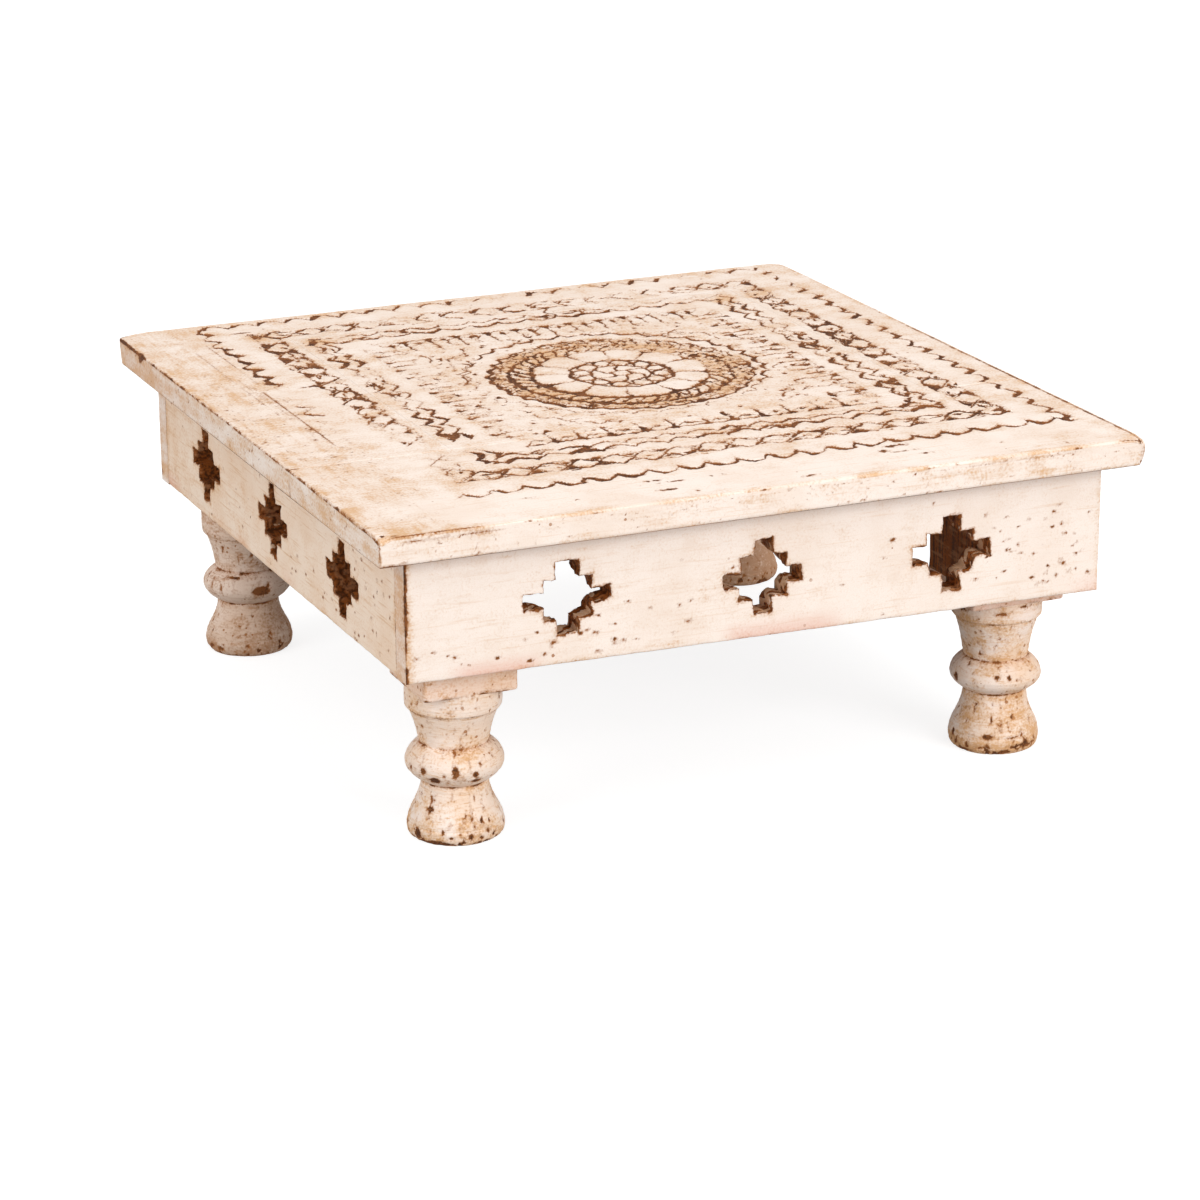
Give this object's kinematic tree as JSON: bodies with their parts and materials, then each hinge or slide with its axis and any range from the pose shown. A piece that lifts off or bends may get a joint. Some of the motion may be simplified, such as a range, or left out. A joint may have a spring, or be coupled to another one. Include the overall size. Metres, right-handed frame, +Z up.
{
  "type": "bajot low table",
  "caption": "Low square table with a carved top on a pierced apron and turned feet, in distressed ivory paint.",
  "frame": {"origin": "on the floor, under the middle of the tabletop", "axes": "+Z up; the front board of the tabletop is on the -Y side; +X runs left to right seen from the front"},
  "size_m": [0.33, 0.33, 0.14],
  "materials": {
    "top_paint": "matt ivory chalk paint over carved wood, worn to brown in the grooves and along the edges",
    "apron_paint": "matt ivory chalk paint with brown chips and a yellow-brown wax patina",
    "leg_paint": "matt ivory chalk paint with brown chips and a yellow-brown wax patina in the turned hollows",
    "nail_iron": "dull dark iron"
  },
  "bodies": {
    "root": {"top_front_board": "top_paint", "top_back_board": "top_paint", "front_apron": "apron_paint", "right_apron": "apron_paint", "back_apron": "apron_paint", "left_apron": "apron_paint", "front_left_leg": "leg_paint", "front_right_leg": "leg_paint", "back_right_leg": "leg_paint", "back_left_leg": "leg_paint", "top_nails": "nail_iron", "front_apron_nails": "nail_iron", "right_apron_nails": "nail_iron", "back_apron_nails": "nail_iron", "left_apron_nails": "nail_iron"}
  },
  "joints": []
}
